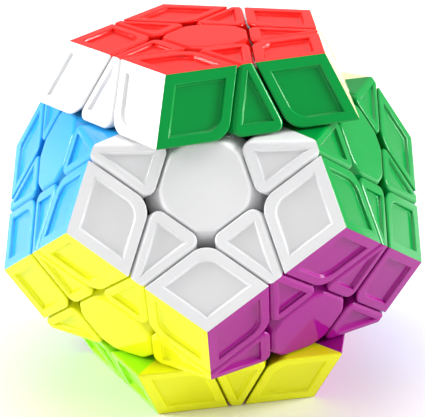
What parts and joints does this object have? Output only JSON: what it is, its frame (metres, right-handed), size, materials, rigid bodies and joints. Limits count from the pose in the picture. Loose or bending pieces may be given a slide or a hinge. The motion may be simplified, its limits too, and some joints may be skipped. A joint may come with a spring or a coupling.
{
  "type": "dodecahedron twisty puzzle",
  "caption": "Twelve-sided twisty puzzle: coloured centre, edge and corner pieces on a sprung core, with top and bottom layers that turn.",
  "frame": {"origin": "centre of the puzzle's core", "axes": "+Z through the middle of the red top layer, -Y towards the side with the white centre above the yellow and purple ones"},
  "size_m": [0.0864, 0.0908, 0.0734],
  "materials": {
    "red_plastic": "gloss",
    "white_plastic": "gloss",
    "green_plastic": "gloss",
    "cream_plastic": "gloss",
    "pink_plastic": "gloss",
    "sky_plastic": "gloss",
    "purple_plastic": "gloss",
    "blue_plastic": "gloss",
    "grey_plastic": "gloss",
    "lime_plastic": "gloss",
    "yellow_plastic": "gloss",
    "orange_plastic": "gloss",
    "core_plastic": "satin",
    "foot_plastic": "satin",
    "screw_steel": "bright",
    "washer_steel": "satin",
    "spring_steel": "bright"
  },
  "bodies": {
    "core_and_belt": {"core": "core_plastic", "screws": "screw_steel", "washers": "washer_steel", "springs": "spring_steel", "belt_edge_feet": "foot_plastic", "belt_corner_feet": "foot_plastic", "white_belt_tiles": "white_plastic", "green_belt_tiles": "green_plastic", "cream_belt_tiles": "cream_plastic", "pink_belt_tiles": "pink_plastic", "sky_belt_tiles": "sky_plastic", "purple_belt_tiles": "purple_plastic", "blue_belt_tiles": "blue_plastic", "grey_belt_tiles": "grey_plastic", "lime_belt_tiles": "lime_plastic", "yellow_belt_tiles": "yellow_plastic"},
    "top_layer": {"top_edge_feet": "foot_plastic", "top_corner_feet": "foot_plastic", "red_top_tiles": "red_plastic", "white_top_tiles": "white_plastic", "green_top_tiles": "green_plastic", "cream_top_tiles": "cream_plastic", "pink_top_tiles": "pink_plastic", "sky_top_tiles": "sky_plastic"},
    "bottom_layer": {"bottom_edge_feet": "foot_plastic", "bottom_corner_feet": "foot_plastic", "purple_bottom_tiles": "purple_plastic", "blue_bottom_tiles": "blue_plastic", "grey_bottom_tiles": "grey_plastic", "lime_bottom_tiles": "lime_plastic", "yellow_bottom_tiles": "yellow_plastic", "orange_bottom_tiles": "orange_plastic"},
    "red_centre": {"red_centre_body": "red_plastic", "red_centre_cap": "red_plastic"},
    "white_centre": {"white_centre_body": "white_plastic", "white_centre_cap": "white_plastic"},
    "green_centre": {"green_centre_body": "green_plastic", "green_centre_cap": "green_plastic"},
    "cream_centre": {"cream_centre_body": "cream_plastic", "cream_centre_cap": "cream_plastic"},
    "pink_centre": {"pink_centre_body": "pink_plastic", "pink_centre_cap": "pink_plastic"},
    "sky_centre": {"sky_centre_body": "sky_plastic", "sky_centre_cap": "sky_plastic"},
    "purple_centre": {"purple_centre_body": "purple_plastic", "purple_centre_cap": "purple_plastic"},
    "blue_centre": {"blue_centre_body": "blue_plastic", "blue_centre_cap": "blue_plastic"},
    "grey_centre": {"grey_centre_body": "grey_plastic", "grey_centre_cap": "grey_plastic"},
    "lime_centre": {"lime_centre_body": "lime_plastic", "lime_centre_cap": "lime_plastic"},
    "yellow_centre": {"yellow_centre_body": "yellow_plastic", "yellow_centre_cap": "yellow_plastic"},
    "orange_centre": {"orange_centre_body": "orange_plastic", "orange_centre_cap": "orange_plastic"}
  },
  "joints": [
    {"name": "top_layer_turn", "type": "hinge", "parent": "core_and_belt", "child": "top_layer", "pos_m": [0, 0, 0], "axis": [0, 0, 1], "continuous": true},
    {"name": "bottom_layer_turn", "type": "hinge", "parent": "core_and_belt", "child": "bottom_layer", "pos_m": [0, 0, 0], "axis": [0, 0, -1], "continuous": true},
    {"name": "red_centre_float", "type": "slide", "parent": "top_layer", "child": "red_centre", "axis": [0, 0, 1], "range_m": [0, 0.0005], "stiffness_N_per_m": 700, "springref_m": -0.003, "deforming": ["springs"]},
    {"name": "white_centre_float", "type": "slide", "parent": "core_and_belt", "child": "white_centre", "axis": [0, -0.8944, 0.4472], "range_m": [0, 0.0005], "stiffness_N_per_m": 700, "springref_m": -0.003, "deforming": ["springs"]},
    {"name": "green_centre_float", "type": "slide", "parent": "core_and_belt", "child": "green_centre", "axis": [0.8507, -0.2764, 0.4472], "range_m": [0, 0.0005], "stiffness_N_per_m": 700, "springref_m": -0.003, "deforming": ["springs"]},
    {"name": "cream_centre_float", "type": "slide", "parent": "core_and_belt", "child": "cream_centre", "axis": [0.5257, 0.7236, 0.4472], "range_m": [0, 0.0005], "stiffness_N_per_m": 700, "springref_m": -0.003, "deforming": ["springs"]},
    {"name": "pink_centre_float", "type": "slide", "parent": "core_and_belt", "child": "pink_centre", "axis": [-0.5257, 0.7236, 0.4472], "range_m": [0, 0.0005], "stiffness_N_per_m": 700, "springref_m": -0.003, "deforming": ["springs"]},
    {"name": "sky_centre_float", "type": "slide", "parent": "core_and_belt", "child": "sky_centre", "axis": [-0.8507, -0.2764, 0.4472], "range_m": [0, 0.0005], "stiffness_N_per_m": 700, "springref_m": -0.003, "deforming": ["springs"]},
    {"name": "purple_centre_float", "type": "slide", "parent": "core_and_belt", "child": "purple_centre", "axis": [0.5257, -0.7236, -0.4472], "range_m": [0, 0.0005], "stiffness_N_per_m": 700, "springref_m": -0.003, "deforming": ["springs"]},
    {"name": "blue_centre_float", "type": "slide", "parent": "core_and_belt", "child": "blue_centre", "axis": [0.8507, 0.2764, -0.4472], "range_m": [0, 0.0005], "stiffness_N_per_m": 700, "springref_m": -0.003, "deforming": ["springs"]},
    {"name": "grey_centre_float", "type": "slide", "parent": "core_and_belt", "child": "grey_centre", "axis": [0, 0.8944, -0.4472], "range_m": [0, 0.0005], "stiffness_N_per_m": 700, "springref_m": -0.003, "deforming": ["springs"]},
    {"name": "lime_centre_float", "type": "slide", "parent": "core_and_belt", "child": "lime_centre", "axis": [-0.8507, 0.2764, -0.4472], "range_m": [0, 0.0005], "stiffness_N_per_m": 700, "springref_m": -0.003, "deforming": ["springs"]},
    {"name": "yellow_centre_float", "type": "slide", "parent": "core_and_belt", "child": "yellow_centre", "axis": [-0.5257, -0.7236, -0.4472], "range_m": [0, 0.0005], "stiffness_N_per_m": 700, "springref_m": -0.003, "deforming": ["springs"]},
    {"name": "orange_centre_float", "type": "slide", "parent": "bottom_layer", "child": "orange_centre", "axis": [0, 0, -1], "range_m": [0, 0.0005], "stiffness_N_per_m": 700, "springref_m": -0.003, "deforming": ["springs"]}
  ]
}
